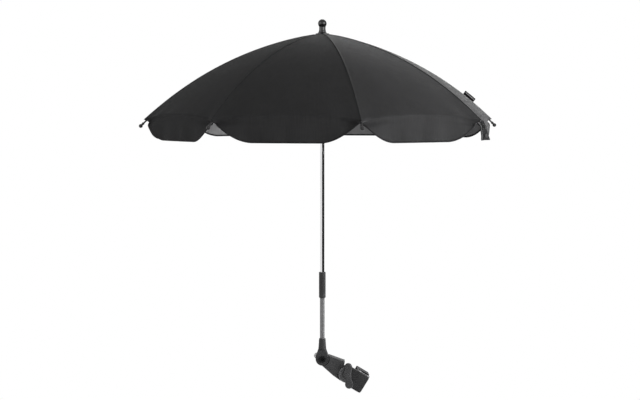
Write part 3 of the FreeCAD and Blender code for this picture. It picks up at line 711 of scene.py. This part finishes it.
class PARASOL_OT_trim(bpy.types.Operator):
    """Closing strap with its press stud, and the bare seam tag"""

    bl_idname = "parasol.trim"
    bl_label = "Strap and tag"

    def execute(self, context):
        sizes = context.scene.parasol_canopy
        fit = context.scene.parasol_fittings
        cloth = Cloth(sizes)
        tape = moulded("strap tape", sizes.tape, 0.75, 0.00005, shine=0.1)
        thread = moulded("thread", lighter(sizes.tape, 4), 0.7, 0.00003)
        stud = moulded("stud black", lighter(fit.moulding, 0.9), 0.6, 0.00003)
        border = moulded("tag border", lighter(sizes.tape, 0.4), 0.75, 0.00005, shine=0.03)
        field = moulded("tag field", lighter(fit.lever, 0.35), 0.8, 0.00005)
        self.strap(sizes, cloth, tape, thread, stud)
        self.tag(sizes, cloth, border, field)
        return {"FINISHED"}

    def strap(self, sizes, cloth, tape, thread, stud_black):
        """Strip that carries on the line of the rim past the last rib. It widens and leans as it hangs, and a
        row of stitches runs inside each long edge."""
        under_cloth = 0.001
        below_rim = 0.0003
        drop = 0.035
        thick = 0.0012
        round_edge = 0.0004
        stud_half = 0.0011
        rib = rib_axes(RIBS)
        distance, height = cloth.along(sizes.arc_radius - under_cloth, cloth.rim_angle)
        start = np.array([distance, 0, height - below_rim])
        sine = math.sin(cloth.half)
        cosine = math.cos(cloth.half)
        axes = np.array([[sine, cosine, 0], [cosine, -sine, 0], [0, 0, 1]])
        corners = np.array([[0.003, 0], [0.0085, 0], [0.0244, -drop], [0.0086, -drop]])
        strip = slab(soften(corners, 0.001, True), 0, thick, round_edge, round_edge)
        inset = np.array([0.0013, 0])
        stitch = rectangle((-0.00018, 0.00018), (-0.0007, 0.0007), 0.00015, 24)
        stitches = []
        for top, foot in ((corners[0] + inset, corners[3] + inset), (corners[1] - inset, corners[2] - inset)):
            for share in np.linspace(0.08, 0.93, 14):
                bar = stitch + (top + (foot - top) * share)
                stitches.append(slab(bar, thick - 0.0002, thick + 0.0002, FINE_EDGE, FINE_EDGE))
        low, high = (np.array(corner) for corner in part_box("strap_snap"))
        middle = axes @ (rib @ ((low + high) / 2 - TILT) - start)
        stud = slab(disc(0.004, middle[[0, 2]]), middle[1] - stud_half, middle[1] + stud_half,
                    round_edge, round_edge)
        pieces = (("strap_woven", [strip], "trim_cloth", tape, ("closing_strap",)),
                  ("strap_stud", [stud], "bolt_black", stud_black, ("strap_snap",)),
                  ("strap_stitches", stitches, "trim_cloth", thread, ()))
        for name, shells, slot, material, nodes in pieces:
            obj = solid(name, TILT, rib, [place(shell, start, axes) for shell in shells])
            obj = dress(obj, f"rib_{RIBS}", slot, material, *nodes)
            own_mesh(obj)

    def tag(self, sizes, cloth, border, field):
        """Flag sewn into the seam of the first rib: a strip that stands on the cloth and is bent along its
        arc, with a bare pale field."""
        before_rim = 0.046
        half_length = 0.013
        height = 0.009
        field_inset = 0.002
        round_edge = 0.0002
        over_cloth = 0.0003
        middle = cloth.angle(sizes.arc_radius, sizes.rim_radius - before_rim)
        base = sizes.arc_radius + over_cloth
        pieces = (("tag_border", half_length, (0, height), 0.0004, border, ("seam_tag",)),
                  ("tag_field", half_length - field_inset, (0.0052, 0.0066), 0.00055, field, ()))
        for name, half, levels, half_thick, material, nodes in pieces:
            grid = slab(rectangle((-half, half), levels, 0.0008), -half_thick, half_thick,
                        round_edge, round_edge)
            r, z = cloth.along(base + grid[..., 2], middle + grid[..., 0] / sizes.arc_radius)
            obj = solid(name, TILT, rib_axes(1), [np.stack([r, grid[..., 1], z], -1)])
            dress(obj, "rib_1", "trim_cloth", material, *nodes)


# Fittings

# Radius where the rosette meets the finial, and the bores for the lower tube and the shaft
FINIAL_FOOT = 0.0069
TUBE_BORE = 0.0047
SHAFT_BORE = 0.00408


class PARASOL_OT_head(bpy.types.Operator):
    """Finial and rosette over the cloth, and the ball tips of the ribs"""

    bl_idname = "parasol.head"
    bl_label = "Finial and tips"

    def execute(self, context):
        fit = context.scene.parasol_fittings
        polish = moulded("polished black", fit.gloss, 0.22, 0.000004, 0.03, 0.3)
        black = moulded("tip black", lighter(fit.moulding, 0.4), 0.42, 0.0001, shine=0.25)
        low, seat, top = (corner[2] - TILT[2] for corner in (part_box("rosette")[0], *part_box("finial")))
        self.rosette(low, seat, polish)
        self.finial(seat, top, polish)
        self.tips(context.scene.parasol_canopy, black)
        return {"FINISHED"}

    def rosette(self, low, seat, polish):
        """Turned washer: the skirt's distance and height are powers of the way from the brim to the seat."""
        brim = 0.013
        bevel = 0.0004
        skirt_low = low + 0.0011
        way = np.linspace(0, 1, 16)
        skirt = np.stack([brim - (brim - FINIAL_FOOT) * way**0.62,
                          skirt_low + (seat - skirt_low) * way**1.9], 1)
        foot = [[0, low], [brim - bevel, low], [brim, low + bevel]]
        profile = np.concatenate([foot, skirt, [[0, seat]]])
        obj = solid("rosette_turned", TILT, UPRIGHT, [lathe(profile)])
        dress(obj, "shaft", "gloss_black", polish, "rosette")

    def finial(self, seat, top, polish):
        """Turned ball: a foot drawn in to the waist, a bead, and an arc for the ball."""
        ball = 0.0082
        waist = 0.0061
        middle = top - ball
        bead = middle - 0.0056
        bead_half = 0.0006
        neck = soften([[FINIAL_FOOT, seat], [FINIAL_FOOT, seat + 0.0006], [waist, seat + 0.004],
                       [waist, bead - bead_half], [waist + 0.0005, bead], [waist + 0.0001, bead + bead_half]],
                      0.0012)
        profile = np.concatenate([[[0, seat]], neck, arc(ball, -40, 90, (0, middle), 28)])
        obj = solid("finial_turned", TILT, UPRIGHT, [lathe(profile)])
        dress(obj, "shaft", "gloss_black", polish, "finial")

    def tips(self, sizes, black):
        """Eight turned tips that point along their ribs: a sleeve, a throat, and an arc for the ball."""
        cloth = Cloth(sizes)
        rib_arc = sizes.arc_radius - sizes.rib_depth
        end = cloth.angle(rib_arc, sizes.tip_radius)
        distance, height = cloth.along(rib_arc, end)
        ball = 0.00365
        sleeve = 0.0024
        throat = 0.0018
        back = -0.008
        stem = soften([[0, back], [sleeve - 0.0003, back], [sleeve, back + 0.0004], [sleeve, -0.0046],
                       [throat, -0.0036], [throat, -0.0032]], 0.0005)
        shape = lathe(np.concatenate([stem, arc(ball, -58, 90, steps=22)]), 40)
        for number in range(1, RIBS + 1):
            out, across, up = rib_axes(number)
            axis = out * math.cos(end) - up * math.sin(end)
            axes = np.array([np.cross(across, axis), across, axis])
            obj = solid(f"ball_tip_{number}", TILT + out * distance + up * height, axes, [shape])
            dress(obj, f"rib_{number}", "tip_black", black, f"rib_tip_{number}")


class PARASOL_OT_mast(bpy.types.Operator):
    """Bright shaft, satin tube, twist collar, and the hubs and ribs under the cloth"""

    bl_idname = "parasol.mast"
    bl_label = "Mast and ribs"

    def execute(self, context):
        fit = context.scene.parasol_fittings
        chrome = metal("bright plating", fit.chrome, 0.09, 0.000004, DRAWN, 0.02)
        satin = metal("satin tube", fit.satin, 0.36, 0.00001, DRAWN, metallic=0.5)
        zinc = metal("zinc plating", fit.zinc, 0.34, 0.00002)
        enamel = moulded("black enamel", fit.enamel, 0.3, 0.00003)
        black = moulded("hub black", fit.moulding, 0.46, 0.00012)
        finish_nodes(chrome, "upper_shaft")
        finish_nodes(satin, "lower_tube")
        finish_nodes(zinc, "top_catch", "low_catch", "crown_wire", "runner_wire")
        finish_nodes(black, "crown", "runner", "grip_collet")
        finish_nodes(enamel, *[f"{kind}_{n}" for kind in ("rib", "stretcher") for n in range(1, RIBS + 1)])
        self.collar(black)
        return {"FINISHED"}

    def collar(self, black):
        """Turned sleeve: the profile runs from the rounded foot past a groove to the top, and back down the
        shaft's bore, the collet's chamber and the tube's bore."""
        low, high = (np.array(corner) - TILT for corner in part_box("collar"))
        radius = (high[0] - low[0]) / 2
        foot = low[2]
        top = high[2]
        foot_round = 0.0019
        top_round = 0.0006
        nick = 0.0004
        groove = foot + 0.0064
        chamber = 0.0053
        chamber_low = foot + 0.0347
        chamber_high = top - 0.002
        outer = soften([[TUBE_BORE, foot], [radius - foot_round, foot], [radius, foot + foot_round],
                        [radius, groove - nick], [radius - nick, groove], [radius, groove + nick],
                        [radius, top - top_round], [radius - top_round, top], [SHAFT_BORE, top]], nick)
        inner = [[SHAFT_BORE, chamber_high], [chamber, chamber_high], [chamber, chamber_low],
                 [TUBE_BORE, chamber_low]]
        obj = solid("twist_collar", TILT, UPRIGHT, [], [lathe(np.concatenate([outer, inner]))])
        dress(obj, "collar", "moulded_black", black, "collar")


class PARASOL_OT_tilt(bpy.types.Operator):
    """Mast socket with its fork, the arm, the bolt and the lock lever"""

    bl_idname = "parasol.tilt"
    bl_label = "Tilt joint and arm"

    def execute(self, context):
        fit = context.scene.parasol_fittings
        steel = metal("bolt steel", lighter(fit.zinc, 0.6), 0.3, 0.00002)
        bolt = moulded("black bolt", lighter(fit.moulding, 0.35), 0.3, 0.00002, shine=0.12)
        finish_nodes(steel, "swing_bolt", "clamp_screw")
        finish_nodes(bolt, "tilt_bolt")
        self.socket(moulded("grained black", fit.moulding, 0.5, 0.00016), fit.edge)
        self.arm(moulded("arm black", lighter(fit.moulding, 1.5), 0.5, 0.00016), fit.edge)
        self.lever(moulded("cast lever", fit.lever, 0.42, 0.00008))
        return {"FINISHED"}

    def socket(self, black, edge):
        """Fork and socket: two cheeks, each an arc whose sides draw in to the neck, a bridge between them,
        and a turned neck with the tube's bore."""
        cheek_in = 0.005
        cheek_out = 0.012
        overlap = 0.0002
        neck_half = 0.0075
        neck_low = 0.0139
        bore_low = 0.0154
        mouth = 0.00635
        mouth_high = 0.0386
        side = np.array([[0.0126, 0.003], [0.0092, 0.012], [neck_half, 0.0176]])
        sides = soften(np.concatenate([side, side[::-1] * (-1, 1)]), 0.003)
        cheek = np.concatenate([arc(0.013, 166, 374, steps=60), sides])
        bridge = rectangle((-neck_half, neck_half), (neck_low, 0.0155), 0.0004)
        neck = soften([[0, neck_low], [0.0079, neck_low], [0.0076, 0.019], [mouth, mouth_high - 0.001],
                       [mouth, mouth_high], [TUBE_BORE, mouth_high], [TUBE_BORE, bore_low], [0, bore_low]],
                      0.0008)
        shells = [slab(cheek, -cheek_out, -cheek_in, edge, edge / 2),
                  slab(cheek, cheek_in, cheek_out, edge / 2, edge),
                  slab(bridge, -cheek_in - overlap, cheek_in + overlap, FINE_EDGE, FINE_EDGE),
                  lathe(neck)]
        obj = solid("fork_socket", TILT, UPRIGHT, shells)
        dress(obj, "mast", "moulded_black", black, "mast_socket")

    def arm(self, black, edge):
        """Flared arm: a front slab hollowed round the clamp's eye, a back slab with the lap plate that the
        bolt goes through, and a tongue between the cheeks of the fork."""
        half = 0.011
        lap = 0.0037
        lap_round = 0.0002
        overlap = 0.0001
        tongue = 0.0047
        tongue_round = 0.0004
        tilt_hole = 0.0031
        swing_hole = 0.0041
        eye = (0.056, -0.0017)
        root = arc(0.0136, -59, 59, steps=30)
        top = [[0.035, 0.017], [0.040, 0.0182]]
        foot = [[0.053, -0.0182], [0.035, -0.017]]
        hollow = arc(0.017, 139, 258, eye, 40)
        front = spread(np.concatenate([root, top, hollow, foot[1:]]), 260)
        back = spread(np.concatenate([root, top, foot]), 260)
        bridge = rectangle((0.005, 0.02), (-0.0105, 0.0105), 0.001)
        shells = [slab(front, -half, lap, edge / 2, lap_round),
                  slab(back, lap - overlap, half, lap_round, edge / 2),
                  slab(bridge, -tongue, tongue, tongue_round, tongue_round)]
        rings = [ring(disc(0.012), tilt_hole, -tongue, tongue, 0.0006),
                 ring(disc(0.013, eye), swing_hole, lap, half, 0.001, eye)]
        obj = solid("flared_arm", TILT, FALL, shells, rings)
        dress(obj, "arm", "moulded_black", black, "clamp_arm")

    def lever(self, pale):
        """Lever behind the fork: a paddle between two arcs, and a round hub."""
        hub = 0.008
        hub_levels = (0.0123, 0.0165)
        hub_round = 0.0004
        paddle_end = (-0.0105, 0)
        paddle_levels = (0.0143, 0.0178)
        lean = math.radians(8)
        paddle = np.concatenate([arc(0.006, 90, 270, paddle_end, 28), arc(hub, -49, 49, steps=24)])
        sine = math.sin(lean)
        cosine = math.cos(lean)
        axes = np.array([[cosine, 0, -sine], [0, 1, 0], [sine, 0, cosine]])
        shells = [slab(paddle, *paddle_levels, 0.001, 0.0014),
                  slab(disc(hub), *hub_levels, hub_round, hub_round)]
        obj = solid("lock_lever", TILT, axes, shells)
        dress(obj, "lever", "lever_zinc", pale, "tilt_lever")


class PARASOL_OT_clamp(bpy.types.Operator):
    """Tube clamp, its jaw, pads and knobs"""

    bl_idname = "parasol.clamp"
    bl_label = "Tube clamp"

    def execute(self, context):
        fit = context.scene.parasol_fittings
        black = moulded("clamp black", lighter(fit.moulding, 0.85), 0.48, 0.00016)
        finish_nodes(moulded("pad rubber", fit.rubber, 0.85, 0.00005), "fixed_pad")
        finish_nodes(moulded("jaw rubber", fit.moulding, 0.85, 0.00005), "moving_pad")
        finish_nodes(black, "moving_jaw")
        self.body(black, fit.edge)
        # The eye boss's moulding is five times lighter: painted highlight on its rim
        self.eye(moulded("worn black", lighter(fit.moulding, 5), 0.45, 0.00016))
        # The wing knob's moulding is lighter than the rest: painted highlight on its lobes
        self.wing(moulded("knob black", lighter(fit.moulding, 1.4), 0.42, 0.00012))
        self.knob(black)
        return {"FINISHED"}

    def body(self, black, edge):
        """Front plate with a face that reaches over the eye, a near wall, and a rear wall with the screw's
        hole. The near wall is drawn with its X and Y swapped."""
        half = 0.0182
        wide = (-half, half)
        end = 0.011
        plate_start = -0.024
        ear_start = -0.035
        near = (-0.0165, -0.012)
        face_levels = (-0.0175, -0.0158)
        plate_levels = (-0.016, -0.0125)
        near_front = -0.0165
        rear = (0.025, 0.031)
        corner = 0.005
        wall_corner = 0.002
        inner_round = 0.0006
        screw_hole = 0.0041
        face = soften([[ear_start, half], [end, half], [end, -half], [plate_start, -half], [plate_start, 0],
                       [ear_start, 0]], corner, True)
        plate = rectangle((plate_start, end), wide, corner)
        wall = slab(rectangle((near_front, rear[1]), wide, wall_corner), *near, edge, inner_round)
        shells = [slab(face, *face_levels, 0.0012, 0.0002),
                  slab(plate, *plate_levels, FINE_EDGE, inner_round), wall[..., [1, 0, 2]]]
        rings = [ring(rectangle((near[0], end), wide, wall_corner), screw_hole, *rear, 0.0012)]
        obj = solid("clamp_shell", TUBE_MIDDLE, FALL, shells, rings)
        dress(obj, "clamp", "moulded_black", black, "clamp_body")

    def eye(self, highlight_black):
        """Round boss that the arm hinges on. Its moulding is five times lighter than the rest, a painted
        highlight for the light that its rim catches.
        """
        radius = 0.0165
        centre = (-0.03, 0)
        levels = (-0.0174, -0.0011)
        boss = slab(disc(radius, centre), *levels, 0.0035, 0.0006)
        obj = solid("clamp_eye", TUBE_MIDDLE, FALL, [boss])
        dress(obj, "clamp", "moulded_black", highlight_black)

    def wing(self, black):
        """Two-lobed knob: two round lobes joined to a hub, with a round flange behind and a cap in front."""
        upper = (0.003, 0.0165)
        lower = (0.0045, -0.0175)
        waist = 0.0085
        ear_levels = (-0.029, -0.02)
        flange = 0.009
        flange_levels = (-0.0203, -0.0178)
        cap = 0.0055
        cap_levels = (-0.0302, -0.0285)
        outline = np.concatenate([arc(0.0075, -20, 215, upper, 40), arc(waist, 150, 205, steps=12),
                                  arc(0.0079, 140, 375, lower, 40), arc(waist, -25, 25, (0.0005, 0), 12)])
        shells = [slab(ease(outline, 0.003), *ear_levels, 0.0026, 0.001),
                  slab(disc(flange), *flange_levels, 0.0002, 0.0006),
                  slab(disc(cap), *cap_levels, 0.0012, FINE_EDGE)]
        obj = solid("wing_moulded", EYE * (1, 0, 1), UPRIGHT, shells)
        dress(obj, "wing", "moulded_black", black, "wing_knob")

    def knob(self, black):
        """Round knob whose rim is scooped by six flutes: the radius is full less a cosine lobe at each sixth
        turn."""
        full = 0.014
        scoop = 0.0038
        levels = (0.0365, 0.0485)
        cap = 0.006
        cap_levels = (0.048, 0.0492)
        turn = np.linspace(0, 2 * math.pi, 180, endpoint=False)
        radius = full - scoop * np.maximum(np.cos(6 * turn), 0) ** 1.2
        outline = np.stack([radius * np.cos(turn), radius * np.sin(turn)], 1)
        shells = [slab(outline, *levels, 0.001, 0.0018), slab(disc(cap), *cap_levels, FINE_EDGE, 0.0008)]
        obj = solid("knob_moulded", TUBE_MIDDLE, FALL, shells)
        dress(obj, "jaw_screw", "moulded_black", black, "clamp_knob")


# Stage

# Height above the tilt axis that the lights aim at, and how far from there the dark and glowing cards stand
AIM_HEIGHT = 0.45
DARK_AWAY = 1.7
GLOW_AWAY = 1.65
CARD_STEPS = 25
WHITE = (1, 1, 1, 1)


class PARASOL_OT_stage(bpy.types.Operator):
    """White floor and background, soft lights and the camera"""

    bl_idname = "parasol.stage"
    bl_label = "Studio"

    def execute(self, context):
        setup = context.scene.parasol_stage
        context.scene.view_settings.view_transform = "Standard"
        self.background(context.scene, setup.sky)
        self.floor(setup.floor)
        aim = Vector(TILT) + Vector((0, 0, AIM_HEIGHT))
        # Place from the aim, size, power, and whether reflections show it
        lights = (("key", (1.95, -1.35, 0.2), (1.2, 1.6), setup.key, False),
                  ("fill", (-1.9, -1.3, 1.3), (1.2, 1.4), setup.fill, True),
                  ("rim", (2.1, 0.9, -0.1), (1.2, 1.6), setup.rim, False))
        for name, offset, size, watts, reflected in lights:
            self.light(name, aim + Vector(offset), aim, size, watts).visible_glossy = reflected
        # Angles to the right of the camera in degrees, heights from the aim, and glow
        cards = (("right flag", (-18, 150), (-1.3, 1.3), 0),
                 ("left flag", (-178, -145), (-1.3, 1.3), 0),
                 ("right card", (12, 80), (0.02, 1), 8),
                 ("left card", (-95, -28), (0.02, 1), 4))
        for name, angles, heights, glow in cards:
            self.card(name, aim, angles, heights, glow)
        self.camera(context.scene, setup)
        return {"FINISHED"}

    def camera(self, scene, setup):
        """Camera in front of the mast, looking a little down."""
        camera = bpy.data.objects.new("camera", bpy.data.cameras.new("camera"))
        scene.collection.objects.link(camera)
        camera.data.lens = setup.lens
        camera.data.sensor_width = 36
        camera.location = Vector(TILT) + Vector((-setup.side, -setup.distance, setup.height))
        camera.rotation_euler = (math.pi / 2 - setup.pitch, 0, 0)
        scene.camera = camera

    def light(self, name, where, aim, size, watts):
        """Rectangular light that faces the aim."""
        lamp = bpy.data.lights.new(name, "AREA")
        lamp.shape = "RECTANGLE"
        lamp.size, lamp.size_y = size
        lamp.energy = watts
        obj = bpy.data.objects.new(name, lamp)
        obj.location = where
        obj.rotation_euler = (aim - where).to_track_quat("-Z", "Y").to_euler()
        bpy.context.scene.collection.objects.link(obj)
        return obj

    def card(self, name, aim, angles, heights, glow):
        """Curved card that only reflections show, black or glowing: an arc about the aim, between two
        heights."""
        turn = np.radians(np.linspace(*angles, CARD_STEPS))
        away = np.stack([np.sin(turn), -np.cos(turn)], 1) * (GLOW_AWAY if glow else DARK_AWAY)
        rows = [np.column_stack([away, np.full(CARD_STEPS, height)]) for height in heights]
        faces = grid_faces(2, CARD_STEPS, False).tolist()
        obj = new_object(name, np.concatenate(rows) + np.array(aim), faces)
        finish = Finish(name).set(Base_Color=(0.002, 0.002, 0.002, 1), Roughness=1.0,
                                  Emission_Color=WHITE, Emission_Strength=glow)
        obj.data.materials.append(finish.material)
        obj.visible_camera = obj.visible_diffuse = obj.visible_shadow = False

    def seen(self, tree):
        """One for rays from the camera, or that show the background in metal or glass."""
        path = tree.nodes.new("ShaderNodeLightPath")
        total = path.outputs["Is Camera Ray"]
        for name in ("Is Glossy Ray", "Is Transmission Ray"):
            larger = tree.nodes.new("ShaderNodeMath")
            larger.operation = "MAXIMUM"
            tree.links.new(total, larger.inputs[0])
            tree.links.new(path.outputs[name], larger.inputs[1])
            total = larger.outputs[0]
        return total

    def background(self, scene, sky):
        """Even light on the object, and plain white where the background itself is seen."""
        world = bpy.data.worlds.new("white studio")
        scene.world = world
        world.use_nodes = True
        tree = world.node_tree
        even = tree.nodes["Background"]
        even.inputs["Color"].default_value = WHITE
        even.inputs["Strength"].default_value = sky
        white = tree.nodes.new("ShaderNodeBackground")
        white.inputs["Color"].default_value = WHITE
        mix = tree.nodes.new("ShaderNodeMixShader")
        tree.links.new(self.seen(tree), mix.inputs[0])
        tree.links.new(even.outputs[0], mix.inputs[1])
        tree.links.new(white.outputs[0], mix.inputs[2])
        tree.links.new(mix.outputs[0], tree.nodes["World Output"].inputs["Surface"])

    def floor(self, level):
        """Large white floor. Near the mast it takes the shadow, and further off it fades to the background's
        white."""
        half = 30
        plan = ((-half, -half), (half, -half), (half, half), (-half, half))
        corners = np.array([[x, y, level] for x, y in plan])
        obj = new_object("floor", corners, [[0, 1, 2, 3]])
        f = Finish("white floor").set(Base_Color=(0.9, 0.9, 0.9, 1), Roughness=0.9)
        middle = (TILT[0], TILT[1], level)
        offset = f.node("ShaderNodeVectorMath", {0: f.position(), 1: middle}, operation="SUBTRACT").outputs[0]
        away = f.node("ShaderNodeVectorMath", {0: offset}, operation="LENGTH").outputs["Value"]
        fade = {"Value": away, "From Min": 0.5, "From Max": 1.5, "To Min": 0.75, "To Max": 1.0}
        white = f.node("ShaderNodeMapRange", fade).outputs[0]
        glow = f.node("ShaderNodeEmission", {"Color": WHITE, "Strength": 1.0}).outputs[0]
        share = f.math("MULTIPLY", self.seen(f.material.node_tree), white)
        mix = f.node("ShaderNodeMixShader", {0: share, 1: f.shader.outputs[0], 2: glow}).outputs[0]
        f.feed(f.nodes["Material Output"].inputs["Surface"], mix)
        obj.data.materials.append(f.material)


class PARASOL_PT_panel(bpy.types.Panel):
    """Lists the parasol's builders and settings"""

    bl_idname = "PARASOL_PT_panel"
    bl_label = "Pram parasol"
    bl_space_type = "VIEW_3D"
    bl_region_type = "UI"
    bl_category = "Parasol"

    def draw(self, context):
        for operator in OPERATORS:
            self.layout.operator(operator.bl_idname)
        for name in SETTINGS:
            settings = getattr(context.scene, name)
            box = self.layout.box()
            for prop in type(settings).__annotations__:
                box.prop(settings, prop)


SETTINGS = {
    "parasol_canopy": ParasolCanopySettings,
    "parasol_fittings": ParasolFittingSettings,
    "parasol_stage": ParasolStageSettings,
}
OPERATORS = (PARASOL_OT_canopy, PARASOL_OT_trim, PARASOL_OT_head, PARASOL_OT_mast, PARASOL_OT_tilt,
             PARASOL_OT_clamp, PARASOL_OT_stage)
CLASSES = (*SETTINGS.values(), *OPERATORS, PARASOL_PT_panel)


def register():
    for made in CLASSES:
        bpy.utils.register_class(made)
    for name, group in SETTINGS.items():
        setattr(bpy.types.Scene, name, PointerProperty(type=group))


def unregister():
    for name in SETTINGS:
        delattr(bpy.types.Scene, name)
    for made in reversed(CLASSES):
        bpy.utils.unregister_class(made)


def main():
    register()
    bpy.ops.parasol.canopy()
    bpy.ops.parasol.trim()
    bpy.ops.parasol.head()
    bpy.ops.parasol.mast()
    bpy.ops.parasol.tilt()
    bpy.ops.parasol.clamp()
    bpy.ops.parasol.stage()


if __name__ == "__main__":
    main()
